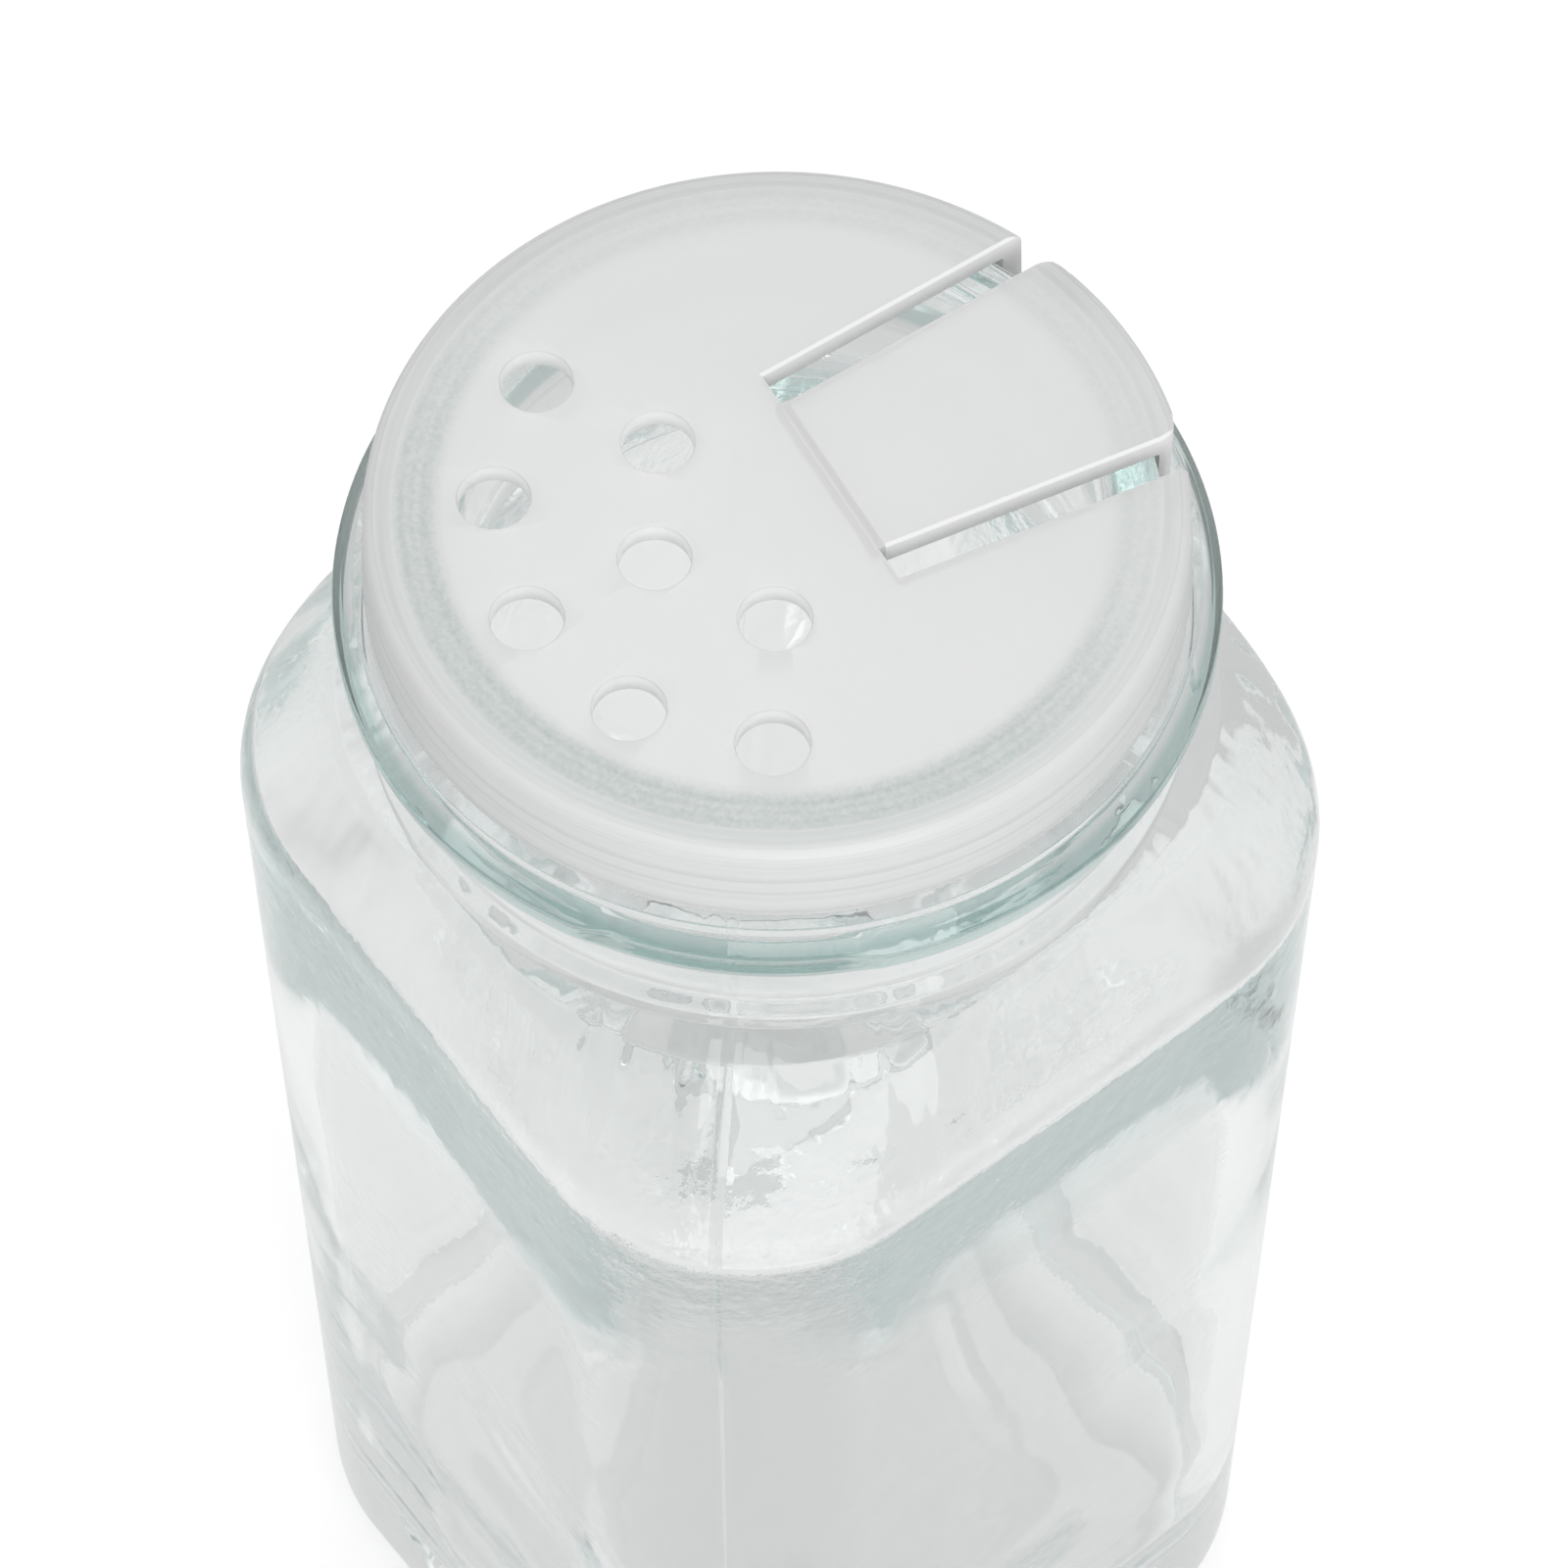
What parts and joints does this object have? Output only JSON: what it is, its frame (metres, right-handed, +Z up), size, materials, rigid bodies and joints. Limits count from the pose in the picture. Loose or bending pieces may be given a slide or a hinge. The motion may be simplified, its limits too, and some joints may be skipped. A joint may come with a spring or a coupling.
{
  "type": "spice jar",
  "caption": "Clear square glass spice jar with a round neck and closure bead, with a translucent shaker insert over its lip that has sprinkle holes and a hinged pour flap.",
  "frame": {"origin": "middle of the jar's underside, on the table it stands on", "axes": "+Z up along the jar's axis; the four flat walls face +X, -X, +Y and -Y; the pour flap points 9.4 degrees from +Y towards +X"},
  "size_m": [0.0446, 0.0446, 0.1057],
  "materials": {
    "clear_glass": "clear pressed glass, glossy, faintly green, slightly wavy on the shoulder",
    "insert_plastic": "translucent natural polypropylene, satin on top and frosted underneath"
  },
  "bodies": {
    "jar": {"glass_jar": "clear_glass"},
    "insert": {"shaker_insert": "insert_plastic", "flap_hinge": "insert_plastic"},
    "flap": {"pour_flap": "insert_plastic"}
  },
  "joints": [
    {"name": "insert_lift", "type": "slide", "parent": "jar", "child": "insert", "axis": [0, 0, 1], "range_m": [0, 0.03]},
    {"name": "flap_turn", "type": "hinge", "parent": "insert", "child": "flap", "pos_m": [0.00046, 0.00276, 0.1057], "axis": [0.9866, -0.1633, 0], "range_deg": [0, 105]}
  ]
}
